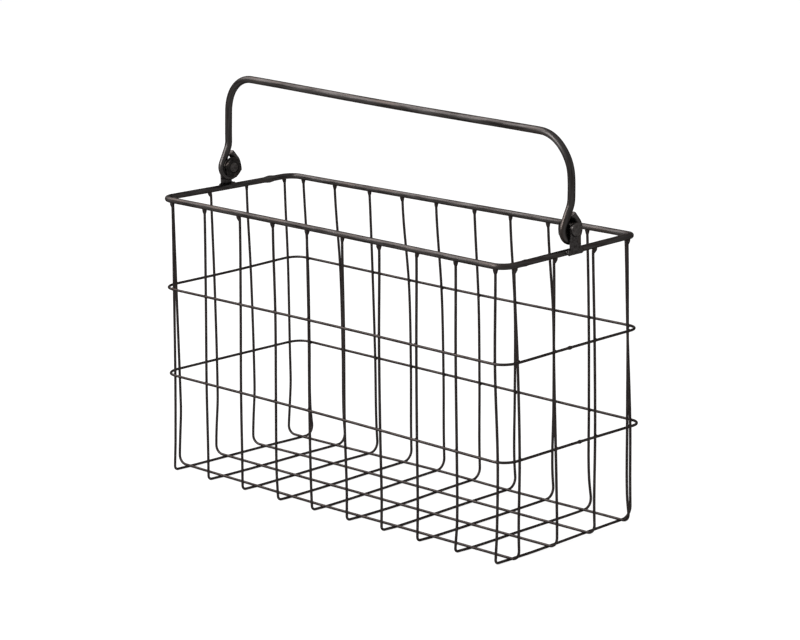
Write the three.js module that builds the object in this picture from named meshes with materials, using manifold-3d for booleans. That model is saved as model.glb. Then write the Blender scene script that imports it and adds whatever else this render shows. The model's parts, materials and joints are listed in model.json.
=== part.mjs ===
// A wire magazine basket with a carrying handle that swings on two bolts.
// Lengths are in millimetres. X runs along the basket, Y across it and Z up.
// The origin lies on the ground, under the middle of the basket.
import * as THREE from "three";
import { mergeVertices } from "three/addons/utils/BufferGeometryUtils.js";
import Module from "manifold-3d";

const wasm = await Module();
wasm.setup();

// Stock, and the clearance that neighbouring pieces keep
const wireDiameter = 2;
const rimDiameter = 4.5;
const handleDiameter = 5.5;
const fitGap = 0.3;

// Floor grid: the cross wires run below, the long wires lie on top of them
const cellPitch = 38;
const crossWireCount = 10;
const longWireCount = 4;
const leftMargin = 10.8;
const rightMargin = 8.8;
const frontMargin = 14.9;
const backMargin = 10.3;
const crossBendRadius = 5;
const longBendRadius = 6.5;

// Walls: the wires lean in from the floor to the rim
const rimHeight = 211;
const endLean = 1.2;
const sideLean = 4.9;
const rimCornerRadius = 10.5;
const upperBeltHeight = 143.8;
const lowerBeltHeight = 75.7;
const beltCornerRadius = 12;

// Welds: a flared nugget on every wire's top, and a bead where each ring closes
const nuggetDiameter = 3.8;
const nuggetHeight = 4.6;
const nuggetWaist = 1.5;
const seamOpening = 1;
const rimSeamLength = 9;
const rimSeamProud = 0.5;
const rimSeamPlace = 42;
const beltSeamLength = 3.6;
const beltSeamProud = 0.5;
const upperSeamPlace = -4.5;
const lowerSeamPlace = 4.3;
const footWeldLength = 5;
const footWeldHeight = 4.4;
const footWeldDepth = 3;

// Lugs, and the bolts through them, a little behind the middle of the short sides
const fittingOffset = 1.8;
const boltDiameter = 8;
const boltEndChamfer = 0.7;
const boltEndProud = 0.5;
const boltHeadDiameter = 10.8;
const boltHeadEdge = 1;
const boltHeadDome = 0.9;
const boltHeadFlat = 5.4;
const lugWidth = 10;
const lugThickness = 2;
const lugFootDrop = 0.1;
const washerDiameter = 16;
const washerThickness = 0.8;
const nutAcrossFlats = 14;
const nutThickness = 2;
const nutChamfer = 0.4;
const leftNutTurn = THREE.MathUtils.degToRad(18);
const rightNutTurn = THREE.MathUtils.degToRad(30);

// Handle: one rod, bent up at both ends into eyes that hang on the bolts
const eyePlay = 1.1;
const eyeOverRim = 2.15;
const neckRise = 17;
const neckBendRadius = 8;
const tailRise = 12.5;
const tailGap = 0.8;
const barRise = 68.3;
const barSlope = 4.9;
const handleCornerRadius = 27;

// Facets round each section, and steps round each bend
const wireSides = 8;
const rodSides = 12;
const boltSides = 16;
const nutSides = 18;
const wireBendSteps = 4;
const ringBendSteps = 5;
const handleBendSteps = 7;
const neckSteps = 3;
const eyeSteps = 14;

// Worked out from the sizes above
const crossLevel = wireDiameter / 2;
const longLevel = crossLevel + wireDiameter + fitGap;
const baseHalfLength = ((crossWireCount - 1) * cellPitch + leftMargin + rightMargin) / 2;
const baseHalfWidth = ((longWireCount - 1) * cellPitch + frontMargin + backMargin) / 2;
const rimHalfLength = baseHalfLength - endLean;
const rimHalfWidth = baseHalfWidth - sideLean;
const wireTop = rimHeight - rimDiameter / 2 - fitGap;
const eyeRadius = boltDiameter / 2 + eyePlay + handleDiameter / 2;
const pivotRise = rimDiameter / 2 + eyeOverRim + eyeRadius + handleDiameter / 2;
const pivotHeight = rimHeight + pivotRise;
const lugInner = rimHalfLength + rimDiameter / 2 + fitGap;
const eyePlane = lugInner - fitGap - handleDiameter / 2;
const washerInner = eyePlane - handleDiameter / 2 - fitGap - washerThickness;
const nutInner = washerInner - fitGap - nutThickness;
const boltEnd = nutInner - boltEndProud;
const boltHeadSeat = lugInner + lugThickness + fitGap;

const blackIron = new THREE.MeshStandardMaterial({ color: 0x38332f, roughness: 0.45, metalness: 0.85 });
const rimIron = new THREE.MeshStandardMaterial({ color: 0x5a5350, roughness: 0.4, metalness: 0.85 });
const handleIron = new THREE.MeshStandardMaterial({ color: 0x544d49, roughness: 0.38, metalness: 0.85 });
const boltIron = new THREE.MeshStandardMaterial({ color: 0x2e2a27, roughness: 0.5, metalness: 0.8 });

// A path through chosen knots, each with its own exact direction.
class KnotPath extends THREE.Curve {
  constructor(knots) {
    super();
    this.knots = knots;
  }
  knotAt(t) {
    return this.knots[Math.round(t * (this.knots.length - 1))];
  }
  getPoint(t, target = new THREE.Vector3()) {
    return target.copy(this.knotAt(t).point);
  }
  getTangent(t, target = new THREE.Vector3()) {
    return target.copy(this.knotAt(t).direction);
  }
  getUtoTmapping(u) {
    return u;
  }
}

// An arc that starts at a point, runs in a direction and turns towards another one.
function arcKnots(start, along, inward, radius, sweep, steps) {
  const centre = start.clone().addScaledVector(inward, radius);
  return Array.from({ length: steps + 1 }, (_, i) => {
    const angle = (sweep * i) / steps;
    const point = centre
      .clone()
      .addScaledVector(inward, -radius * Math.cos(angle))
      .addScaledVector(along, radius * Math.sin(angle));
    const direction = along
      .clone()
      .multiplyScalar(Math.cos(angle))
      .addScaledVector(inward, Math.sin(angle))
      .normalize();
    return { point, direction };
  });
}

// The rounded corner between two straight runs.
function cornerKnots(before, corner, after, radius, steps) {
  const along = corner.clone().sub(before).normalize();
  const leaving = after.clone().sub(corner).normalize();
  const sweep = along.angleTo(leaving);
  const inward = leaving.clone().addScaledVector(along, -along.dot(leaving)).normalize();
  const start = corner.clone().addScaledVector(along, -radius * Math.tan(sweep / 2));
  return arcKnots(start, along, inward, radius, sweep, steps);
}

// Straight runs from the first point to the last one, rounded at each point between.
function bentPath(points, radius, steps) {
  const first = points[0];
  const last = points[points.length - 1];
  const knots = [{ point: first, direction: points[1].clone().sub(first).normalize() }];
  for (let i = 1; i < points.length - 1; i++)
    knots.push(...cornerKnots(points[i - 1], points[i], points[i + 1], radius, steps));
  knots.push({ point: last, direction: last.clone().sub(points[points.length - 2]).normalize() });
  return knots;
}

// A round section whose flats touch the true circle and face along the axes.
function roundSection(diameter, sides) {
  const reach = diameter / 2 / Math.cos(Math.PI / sides);
  const corners = Array.from({ length: sides }, (_, i) => {
    const angle = ((2 * i + 1) * Math.PI) / sides;
    return new THREE.Vector2(reach * Math.cos(angle), reach * Math.sin(angle));
  });
  return new THREE.Shape(corners);
}

function rod(knots, diameter, sides) {
  return new THREE.ExtrudeGeometry(roundSection(diameter, sides), {
    steps: knots.length - 1,
    bevelEnabled: false,
    extrudePath: new KnotPath(knots),
  });
}

function toSolid(geometry) {
  const bare = geometry.clone();
  bare.deleteAttribute("normal");
  bare.deleteAttribute("uv");
  const merged = mergeVertices(bare);
  const vertProperties = new Float32Array(merged.attributes.position.array);
  const triVerts = new Uint32Array(merged.index.array);
  return new wasm.Manifold(new wasm.Mesh({ numProp: 3, vertProperties, triVerts }));
}

function toGeometry(solid) {
  const { numProp, vertProperties, triVerts } = solid.getMesh();
  const geometry = new THREE.BufferGeometry();
  geometry.setAttribute("position", new THREE.BufferAttribute(vertProperties, numProp));
  geometry.setIndex(new THREE.BufferAttribute(triVerts, 1));
  geometry.computeVertexNormals();
  return geometry;
}

function join(...geometries) {
  return toGeometry(geometries.map(toSolid).reduce((whole, piece) => whole.add(piece)));
}

function turned(profile, sides) {
  return new THREE.LatheGeometry(
    profile.map(([radius, height]) => new THREE.Vector2(radius, height)),
    sides,
  );
}

// A weld nugget that flares from a wire to the rim above it, with its top at the origin.
function nugget() {
  const shape = turned(
    [
      [0, -nuggetHeight],
      [wireDiameter / 2, -nuggetHeight],
      [nuggetWaist, -nuggetHeight / 2],
      [nuggetDiameter / 2, 0],
      [0, 0],
    ],
    wireSides,
  );
  return shape.rotateX(Math.PI / 2);
}

// A wire bent into a U in the plane of Y and Z, with a nugget on each of its tops.
function bentWire(baseHalf, topHalf, level, bendRadius) {
  const top = wireTop - nuggetHeight / 4;
  const points = [
    [-topHalf, top],
    [-baseHalf, level],
    [baseHalf, level],
    [topHalf, top],
  ].map(([y, z]) => new THREE.Vector3(0, y, z));
  return join(
    rod(bentPath(points, bendRadius, wireBendSteps), wireDiameter, wireSides),
    nugget().translate(0, -topHalf, wireTop),
    nugget().translate(0, topHalf, wireTop),
  );
}

function crossWires() {
  const shape = bentWire(baseHalfWidth, rimHalfWidth, crossLevel, crossBendRadius);
  return Array.from({ length: crossWireCount }, (_, i) => {
    const wire = new THREE.Mesh(shape, blackIron);
    wire.name = "cross_wire_" + String(i + 1).padStart(2, "0");
    wire.position.x = leftMargin - baseHalfLength + i * cellPitch;
    return wire;
  });
}

function longWires() {
  const shape = bentWire(baseHalfLength, rimHalfLength, longLevel, longBendRadius).rotateZ(-Math.PI / 2);
  return Array.from({ length: longWireCount }, (_, i) => {
    const wire = new THREE.Mesh(shape, blackIron);
    wire.name = "long_wire_" + (i + 1);
    wire.position.y = frontMargin - baseHalfWidth + i * cellPitch;
    return wire;
  });
}

// A rectangular ring of rod, closed by a bead on one of its short sides.
function closedRing(halfLength, halfWidth, cornerRadius, diameter, sides, seam) {
  const end = seam.side * halfLength;
  const across = seam.side * halfWidth;
  const opening = (seam.side * seamOpening) / 2;
  const points = [
    [end, seam.place + opening],
    [end, across],
    [-end, across],
    [-end, -across],
    [end, -across],
    [end, seam.place - opening],
  ].map(([x, y]) => new THREE.Vector3(x, y, 0));
  const bead = turned(
    [
      [0, -seam.length / 2],
      [diameter / 2 - seam.proud, -seam.length / 2],
      [diameter / 2 + seam.proud, -seam.length / 6],
      [diameter / 2 + seam.proud, seam.length / 6],
      [diameter / 2 - seam.proud, seam.length / 2],
      [0, seam.length / 2],
    ],
    sides,
  );
  const ring = rod(bentPath(points, cornerRadius, ringBendSteps), diameter, sides);
  return join(ring, bead.translate(end, seam.place, 0));
}

function rim() {
  const seam = { side: -1, place: rimSeamPlace, length: rimSeamLength, proud: rimSeamProud };
  const ring = new THREE.Mesh(
    closedRing(rimHalfLength, rimHalfWidth, rimCornerRadius, rimDiameter, rodSides, seam),
    rimIron,
  );
  ring.name = "rim";
  ring.position.z = rimHeight;
  return ring;
}

// How far a rounded corner draws in a ring at a wire that stands this far from the ring's end.
function cornerDraw(room) {
  const past = Math.max(0, beltCornerRadius - room);
  return beltCornerRadius - Math.sqrt(beltCornerRadius ** 2 - past ** 2);
}

// A belt goes round the outside of the wall wires, so it follows their lean
// and stands clear of the last wires where its corners round off.
function belt(name, height, place) {
  const lengthLean = (endLean * (height - longLevel)) / (wireTop - longLevel);
  const widthLean = (sideLean * (height - crossLevel)) / (wireTop - crossLevel);
  const outside = wireDiameter + fitGap;
  const endRoom = Math.min(leftMargin, rightMargin) - lengthLean + outside;
  const sideRoom = Math.min(frontMargin, backMargin) - widthLean + outside;
  const seam = { side: 1, place, length: beltSeamLength, proud: beltSeamProud };
  const ring = new THREE.Mesh(
    closedRing(
      baseHalfLength - lengthLean + outside + cornerDraw(sideRoom),
      baseHalfWidth - widthLean + outside + cornerDraw(endRoom),
      beltCornerRadius,
      wireDiameter,
      wireSides,
      seam,
    ),
    blackIron,
  );
  ring.name = name;
  ring.position.z = height;
  return ring;
}

// A flat piece whose outline, drawn in X and Y, is turned to lie in Y and Z, with its depth along X.
function plateAlongX(outline, depth) {
  const flat = new THREE.ExtrudeGeometry(outline, {
    depth,
    bevelEnabled: false,
    curveSegments: boltSides / 2,
  });
  return flat.rotateX(Math.PI / 2).rotateZ(Math.PI / 2);
}

function roundHole(radius) {
  return new THREE.Path().absarc(0, 0, radius, 0, 2 * Math.PI, true);
}

// A strap with a round top, hung from its bolt hole and welded to the rim at its foot.
function lug(name) {
  const half = lugWidth / 2;
  const foot = -pivotRise - rimDiameter / 2 - lugFootDrop;
  const outline = new THREE.Shape();
  outline.moveTo(-half, foot);
  outline.lineTo(half, foot);
  outline.absarc(0, 0, half, 0, Math.PI, false);
  outline.closePath();
  outline.holes.push(roundHole(boltDiameter / 2 + fitGap));
  const strap = plateAlongX(outline, lugThickness);
  const rimAxis = -rimDiameter / 2 - fitGap;
  const welds = [-half, half].map((y) =>
    new THREE.SphereGeometry(1, 10, 7)
      .scale(footWeldDepth / 2, footWeldLength / 2, footWeldHeight / 2)
      .translate(lugThickness / 2, y, -pivotRise),
  );
  const rimRoom = new THREE.CylinderGeometry(
    rimDiameter / 2 + fitGap,
    rimDiameter / 2 + fitGap,
    lugWidth + 2 * footWeldLength,
    boltSides,
  ).translate(rimAxis, 0, -pivotRise);
  const whole = [strap, ...welds].map(toSolid).reduce((all, piece) => all.add(piece));
  const plate = new THREE.Mesh(toGeometry(whole.subtract(toSolid(rimRoom))), rimIron);
  plate.name = name;
  plate.position.x = lugInner;
  return plate;
}

function bolt(name) {
  const radius = boltDiameter / 2;
  const seat = boltHeadSeat - boltEnd;
  const shape = turned(
    [
      [0, 0],
      [radius - boltEndChamfer, 0],
      [radius, boltEndChamfer],
      [radius, seat],
      [boltHeadDiameter / 2, seat],
      [boltHeadDiameter / 2, seat + boltHeadEdge],
      [boltHeadFlat / 2, seat + boltHeadEdge + boltHeadDome],
      [0, seat + boltHeadEdge + boltHeadDome],
    ],
    boltSides,
  ).rotateZ(-Math.PI / 2);
  const piece = new THREE.Mesh(shape, boltIron);
  piece.name = name;
  piece.position.x = boltEnd;
  return piece;
}

function washer(name) {
  const bore = boltDiameter / 2 + fitGap;
  const shape = turned(
    [
      [bore, 0],
      [washerDiameter / 2, 0],
      [washerDiameter / 2, washerThickness],
      [bore, washerThickness],
      [bore, 0],
    ],
    boltSides,
  ).rotateZ(-Math.PI / 2);
  const piece = new THREE.Mesh(shape, boltIron);
  piece.name = name;
  piece.position.x = washerInner;
  return piece;
}

// A hexagon nut, with its corners turned off on both faces.
function nut(name, turn) {
  const corner = nutAcrossFlats / 2 / Math.cos(Math.PI / 6);
  const corners = Array.from({ length: 6 }, (_, i) => {
    const angle = (i * Math.PI) / 3;
    return new THREE.Vector2(corner * Math.cos(angle), corner * Math.sin(angle));
  });
  const outline = new THREE.Shape(corners);
  outline.holes.push(roundHole(boltDiameter / 2 + fitGap));
  const body = plateAlongX(outline, nutThickness);
  const rounding = turned(
    [
      [0, 0],
      [nutAcrossFlats / 2, 0],
      [corner, nutChamfer],
      [corner, nutThickness - nutChamfer],
      [nutAcrossFlats / 2, nutThickness],
      [0, nutThickness],
    ],
    nutSides,
  ).rotateZ(-Math.PI / 2);
  const piece = new THREE.Mesh(toGeometry(toSolid(body).intersect(toSolid(rounding))), boltIron);
  piece.name = name;
  piece.position.x = nutInner;
  piece.rotation.x = turn;
  return piece;
}

// The fittings of one end, outermost first, built for the right end about the pivot.
function fittings(side, turn) {
  const group = new THREE.Group();
  group.add(bolt(side + "_bolt"), lug(side + "_lug"));
  group.add(washer(side + "_washer"), nut(side + "_nut", turn));
  group.position.set(0, fittingOffset, pivotHeight);
  return group;
}

// One end of the handle rod: its tail, its eye round the bolt and the neck up to the leg.
// The neck and the tail leave the eye on either side and lean in, to heights straight above the bolt.
function eyeKnots(x) {
  const neckReach = Math.acos(eyeRadius / neckRise);
  const tailReach = Math.acos(eyeRadius / tailRise);
  const opening = Math.PI - neckReach - tailReach;
  const radius = handleDiameter / 2;
  const clearance = (radius + tailGap + radius * Math.cos(opening)) / Math.sin(opening);
  const pastLeg = ((neckRise - tailRise) * Math.cos(neckReach)) / Math.sin(opening);
  const above = (height) => new THREE.Vector3(x, 0, height);
  const onEye = (fromTop) =>
    new THREE.Vector3(x, eyeRadius * Math.sin(fromTop), eyeRadius * Math.cos(fromTop));
  const tailStart = onEye(tailReach);
  const down = tailStart.clone().sub(above(tailRise)).normalize();
  const inward = onEye(tailReach - Math.PI).setX(0).normalize();
  const tail = {
    point: above(tailRise).addScaledVector(down, clearance - pastLeg),
    direction: down,
  };
  const sweep = 2 * Math.PI - neckReach - tailReach;
  const loop = arcKnots(tailStart, down, inward, eyeRadius, sweep, eyeSteps);
  const neck = cornerKnots(onEye(-neckReach), above(neckRise), above(barRise), neckBendRadius, neckSteps);
  return [tail, ...loop, ...neck];
}

function reversed(knots) {
  return knots.map(({ point, direction }) => ({ point, direction: direction.clone().negate() })).reverse();
}

function handle() {
  const leftTop = new THREE.Vector3(-eyePlane, 0, barRise + barSlope / 2);
  const rightTop = new THREE.Vector3(eyePlane, 0, barRise - barSlope / 2);
  const below = (top) => new THREE.Vector3(top.x, top.y, 0);
  const knots = [
    ...eyeKnots(-eyePlane),
    ...cornerKnots(below(leftTop), leftTop, rightTop, handleCornerRadius, handleBendSteps),
    ...cornerKnots(leftTop, rightTop, below(rightTop), handleCornerRadius, handleBendSteps),
    ...reversed(eyeKnots(eyePlane)),
  ];
  const piece = new THREE.Mesh(rod(knots, handleDiameter, rodSides), handleIron);
  piece.name = "handle";
  piece.position.set(0, fittingOffset, pivotHeight);
  return piece;
}

const rightFittings = fittings("right", rightNutTurn);
const leftFittings = fittings("left", leftNutTurn);
leftFittings.rotation.z = Math.PI;

const basket = new THREE.Group();
basket.add(
  rim(),
  belt("upper_belt", upperBeltHeight, upperSeamPlace),
  belt("lower_belt", lowerBeltHeight, lowerSeamPlace),
  ...crossWires(),
  ...longWires(),
  leftFittings,
  rightFittings,
  handle(),
);

export default basket;
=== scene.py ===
"""A wire magazine basket with a swinging rod handle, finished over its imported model."""

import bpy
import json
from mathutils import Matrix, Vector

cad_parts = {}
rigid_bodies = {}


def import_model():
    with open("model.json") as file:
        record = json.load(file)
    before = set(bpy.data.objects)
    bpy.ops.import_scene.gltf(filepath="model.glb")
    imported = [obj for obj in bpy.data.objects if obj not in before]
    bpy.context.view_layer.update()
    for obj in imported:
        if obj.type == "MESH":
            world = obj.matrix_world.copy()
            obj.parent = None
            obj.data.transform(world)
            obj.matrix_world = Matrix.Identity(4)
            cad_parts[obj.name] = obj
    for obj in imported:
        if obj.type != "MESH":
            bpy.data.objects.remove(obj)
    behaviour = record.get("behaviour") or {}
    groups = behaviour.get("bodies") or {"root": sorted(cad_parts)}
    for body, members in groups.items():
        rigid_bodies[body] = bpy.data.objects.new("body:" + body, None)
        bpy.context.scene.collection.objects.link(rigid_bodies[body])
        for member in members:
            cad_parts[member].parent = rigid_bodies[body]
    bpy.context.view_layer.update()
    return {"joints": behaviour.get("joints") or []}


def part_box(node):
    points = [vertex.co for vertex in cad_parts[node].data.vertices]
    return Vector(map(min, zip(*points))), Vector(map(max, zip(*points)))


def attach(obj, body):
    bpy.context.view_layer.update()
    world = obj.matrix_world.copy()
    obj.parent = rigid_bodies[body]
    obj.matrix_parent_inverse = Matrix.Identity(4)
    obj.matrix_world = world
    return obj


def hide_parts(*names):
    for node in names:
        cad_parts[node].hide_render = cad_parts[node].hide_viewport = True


bl_info = {
    "name": "Wire Magazine Basket",
    "version": (1, 0, 0),
    "blender": (4, 5, 0),
    "location": "3D View > Sidebar > Basket",
    "description": "Makes the welded wires, rim, belts, fittings and handle of a magazine basket",
    "category": "Add Mesh",
}

import json
import math

import bmesh
import bpy
from bpy.props import FloatProperty, FloatVectorProperty, IntProperty, PointerProperty
from bpy.types import Operator, Panel, PropertyGroup
from mathutils import Matrix, Vector, noise

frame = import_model()

MM = 0.001
RINGS = {node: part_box(node) for node in ("rim", "upper_belt", "lower_belt")}
RIM_LOW, RIM_HIGH = RINGS["rim"]
RIM_AXIS = (RIM_LOW.z + RIM_HIGH.z) / 2
LUG_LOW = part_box("right_lug")[0]
BOLT_LOW, BOLT_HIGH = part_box("right_bolt")
WASHER_LOW, WASHER_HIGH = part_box("right_washer")
NUT_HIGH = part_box("right_nut")[1]
HANDLE_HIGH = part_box("handle")[1]
PIVOT = Vector(frame["joints"][0]["pos_m"])
CROSS_WIRES = ["cross_wire_%02d" % i for i in range(1, 11)]
LONG_WIRES = ["long_wire_%d" % i for i in range(1, 5)]
ENDS = (("left", math.pi), ("right", 0.0))


# Sizes and colours that a user may change


def size_in_mm(name, description, default, low, high):
    """A length of the panel, with its default and its limits given in millimetres."""
    return FloatProperty(
        name=name, description=description, default=default * MM, min=low * MM, max=high * MM,
        unit="LENGTH", subtype="DISTANCE")


def tone(name, description, default):
    """A colour of the panel."""
    return FloatVectorProperty(
        name=name, description=description, default=default, min=0, max=1, subtype="COLOR")


class WireSizes(PropertyGroup):
    wire_diameter: size_in_mm("Wire Diameter", "Thickness of the wall and floor wires", 2, 0.5, 4)
    front_bend: size_in_mm("Front Bend", "Radius of the cross wires' bends at the front", 2.8, 1, 10)
    back_bend: size_in_mm("Back Bend", "Radius of the cross wires' bends at the back", 8, 1, 10)
    left_bend: size_in_mm("Left Bend", "Radius of the long wires' bends at the left", 6, 1, 12)
    right_bend: size_in_mm("Right Bend", "Radius of the long wires' bends at the right", 7, 1, 12)
    nugget_diameter: size_in_mm("Nugget Diameter", "Width of the weld at a wire's top", 3.4, 1, 6)
    nugget_height: size_in_mm(
        "Nugget Height", "Height over which a wire flares into its weld", 2.6, 1, 10)
    weld_depth: size_in_mm(
        "Weld Depth", "How far the long wires are pressed into the cross wires", 1.4, 0, 2)
    bead_width: size_in_mm("Bead Width", "Width of the weld where two wires cross", 2.5, 1, 5)
    bead_height: size_in_mm("Bead Height", "Thickness of the weld where two wires cross", 1.7, 0.5, 4)
    hand_work: FloatProperty(
        name="Hand Work", description="How much the wires wander from their true places",
        default=1, min=0, max=1.5, subtype="FACTOR")
    sides: IntProperty(
        name="Sides", description="Facets round a wire", default=16, min=6, max=32)


class RodSizes(PropertyGroup):
    rim_diameter: size_in_mm("Rim Diameter", "Thickness of the rim rod", 4.5, 2, 8)
    rim_corner: size_in_mm("Rim Corner", "Radius of the rim's corners, at the rod's middle", 10.5, 4, 30)
    belt_corner: size_in_mm(
        "Belt Corner", "Radius of the belts' corners, at the wire's middle", 12, 4, 30)
    handle_diameter: size_in_mm("Handle Diameter", "Thickness of the handle rod", 5.5, 3, 10)
    handle_corner: size_in_mm("Handle Corner", "Radius of the handle's upper corners", 27, 8, 50)
    eye_radius: size_in_mm("Eye Radius", "Radius of the handle's eyes, at the rod's middle", 7.85, 5, 12)
    neck_rise: size_in_mm(
        "Neck Rise", "Height above the bolt where an eye's neck meets its leg", 17, 12, 40)
    tail_rise: size_in_mm("Tail Rise", "Height above the bolt that an eye's tail points at", 12.5, 8, 40)
    neck_bend: size_in_mm("Neck Bend", "Radius of the bend between an eye and its leg", 16, 2, 30)
    unevenness: size_in_mm("Unevenness", "Height of the rods' hammered dents", 0.16, 0, 1)
    sides: IntProperty(
        name="Sides", description="Facets round a rod", default=24, min=8, max=48)


class FittingSizes(PropertyGroup):
    lug_width: size_in_mm("Lug Width", "Width of the strap that holds a bolt", 10, 6, 20)
    bolt_diameter: size_in_mm("Bolt Diameter", "Thickness of a bolt's shank", 8, 4, 12)
    thread_pitch: size_in_mm(
        "Thread Pitch", "Distance between two turns of the bolts' thread", 1.25, 0.5, 2)
    head_diameter: size_in_mm("Head Diameter", "Width of a bolt's round head", 10, 6, 20)
    washer_diameter: size_in_mm("Washer Diameter", "Width of a washer", 16, 10, 24)
    nut_width: size_in_mm("Nut Width", "Width of a nut across its flats", 14, 8, 20)
    hole_play: size_in_mm("Hole Play", "Room round a bolt in its holes", 0.25, 0, 1)


class FinishColours(PropertyGroup):
    wire_dark: tone("Wire Dark", "Darker tone of the wires", (0.011, 0.008, 0.0075))
    wire_light: tone("Wire Light", "Lighter tone of the wires", (0.036, 0.031, 0.030))
    rod_dark: tone("Rod Dark", "Darker tone of the rim and the handle", (0.011, 0.0093, 0.0088))
    rod_light: tone("Rod Light", "Lighter tone of the rim and the handle", (0.052, 0.048, 0.047))
    brown: tone("Brown Patches", "Warm patches worn into the finish", (0.038, 0.031, 0.028))
    fitting_dark: tone("Fitting Dark", "Darker tone of the nuts and washers", (0.004, 0.0036, 0.0036))
    fitting_light: tone("Fitting Light", "Lighter tone of the nuts and washers", (0.022, 0.020, 0.019))
    worn: tone("Worn Steel", "Lighter tone of the bolts, worn by use", (0.062, 0.057, 0.055))
    gloss: FloatProperty(
        name="Roughness", description="Middle roughness of the iron finish",
        default=0.36, min=0.05, max=1, subtype="FACTOR")


class StageSettings(PropertyGroup):
    floor_colour: tone("Floor Colour", "Colour by which the floor lights the object", (0.42, 0.42, 0.42))
    sky_light: FloatProperty(
        name="Sky Light", description="Strength of the even light from all round",
        default=0.3, min=0, max=2)
    softbox_power: FloatProperty(
        name="Softbox Power", description="Power of the large lamp at the upper left",
        default=70, min=0, max=500, unit="POWER")
    strip_power: FloatProperty(
        name="Strip Power", description="Power of the tall narrow lamp at the front left",
        default=38, min=0, max=500, unit="POWER")


def settings(context, group):
    return getattr(context.scene, "basket_" + group)


# Paths


def arc(start, along, inward, radius, sweep, steps):
    """Points on an arc that starts along one direction and turns towards another."""
    centre = start + inward * radius
    return [
        centre - inward * (radius * math.cos(sweep * i / steps))
        + along * (radius * math.sin(sweep * i / steps))
        for i in range(steps + 1)
    ]


def rounded(before, corner, after, radius, steps):
    """The rounded corner between two straight runs."""
    along = (corner - before).normalized()
    leaving = (after - corner).normalized()
    sweep = along.angle(leaving)
    inward = (leaving - along * along.dot(leaving)).normalized()
    start = corner - along * (radius * math.tan(sweep / 2))
    return arc(start, along, inward, radius, sweep, steps)


def divided(points, step, closed=False):
    """The same line with its long runs cut into pieces no longer than step."""
    ends = points[1:] + points[:1] if closed else points[1:]
    fine = []
    for a, b in zip(points, ends):
        count = max(1, math.ceil((b - a).length / step - 1e-6))
        fine += [a.lerp(b, i / count) for i in range(count)]
    return fine if closed else fine + [points[-1]]


def eased(stations, place):
    """A smooth value at a place along a line, from (place, value) pairs in order."""
    if place <= stations[0][0]:
        return stations[0][1]
    if place >= stations[-1][0]:
        return stations[-1][1]
    i = next(k for k in range(1, len(stations)) if place <= stations[k][0])
    (a, va), (b, vb) = stations[i - 1], stations[i]

    def slope(k):
        if k in (0, len(stations) - 1):
            return 0.0
        (p, vp), (q, vq) = stations[k - 1], stations[k + 1]
        return (vq - vp) / (q - p)

    t, span = (place - a) / (b - a), b - a
    return (
        (2 * t**3 - 3 * t**2 + 1) * va + (t**3 - 2 * t**2 + t) * span * slope(i - 1)
        + (3 * t**2 - 2 * t**3) * vb + (t**3 - t**2) * span * slope(i)
    )


def bump(distance, length):
    """One at the middle of a swelling, falling smoothly to nothing at its ends."""
    share = min(1.0, abs(distance) / (length / 2))
    return (1 - share * share) ** 2


# Geometry Nodes

BEAD_SIZE_SHARES = (0.8, 0.8, 0.9), (1.25, 1.1, 1.1)
BEAD_LUMPS_PER_METRE = 700.0
SEED_SHIFT = 7.3
DENTS_ROUND_ROD = 0.9
SWELLING_LUMPS = 5.0


class TreeMaker:
    """Adds and joins the nodes of one tree."""

    def __init__(self, tree):
        self.tree = tree

    def put(self, socket, value):
        if isinstance(value, bpy.types.NodeSocket):
            self.tree.links.new(value, socket)
        else:
            socket.default_value = value

    def node(self, kind, inputs=(), **values):
        """A new node with its values, and its inputs as values or sockets by name or number."""
        node = self.tree.nodes.new(kind)
        for name, value in values.items():
            setattr(node, name, value)
        for key, value in dict(inputs).items():
            self.put(node.inputs[key], value)
        return node

    def add(self, kind, inputs=(), **values):
        """The first output of a new node."""
        return self.node(kind, inputs, **values).outputs[0]

    def math(self, operation, a, b=0.0):
        return self.add("ShaderNodeMath", {0: a, 1: b}, operation=operation)

    def vector(self, operation, a, b=(0, 0, 0)):
        return self.add("ShaderNodeVectorMath", {0: a, 1: b}, operation=operation)

    def combined(self, **parts):
        """A vector with the named parts, and nothing in the others."""
        return self.add("ShaderNodeCombineXYZ", parts)

    def attribute(self, name, kind):
        node = self.node("GeometryNodeInputNamedAttribute", {"Name": name}, data_type=kind)
        return next(s for s in node.outputs if s.enabled)

    def store(self, geometry, name, kind, value):
        return self.add(
            "GeometryNodeStoreNamedAttribute",
            {"Geometry": geometry, "Name": name, "Value": value}, data_type=kind, domain="POINT")

    def uneven(self, geometry, where, scale, height, detail):
        """Moves the surface in and out by a noise read at where."""
        texture = self.node(
            "ShaderNodeTexNoise", {"Vector": where, "Scale": scale, "Detail": detail},
            noise_dimensions="3D")
        out = self.math("SUBTRACT", texture.outputs["Fac"], 0.5)
        move = self.add(
            "ShaderNodeVectorMath",
            {0: self.add("GeometryNodeInputNormal"), "Scale": self.math("MULTIPLY", out, height)},
            operation="SCALE")
        return self.add("GeometryNodeSetPosition", {"Geometry": geometry, "Offset": move})

    def finish(self, geometry, material):
        """Smooth, realized and with its material, as the tree's result."""
        smooth = self.add("GeometryNodeSetShadeSmooth", {"Geometry": geometry})
        real = self.add("GeometryNodeRealizeInstances", {"Geometry": smooth})
        paint = self.add("GeometryNodeSetMaterial", {"Geometry": real, "Material": material})
        self.node("NodeGroupOutput", {0: paint})


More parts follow.
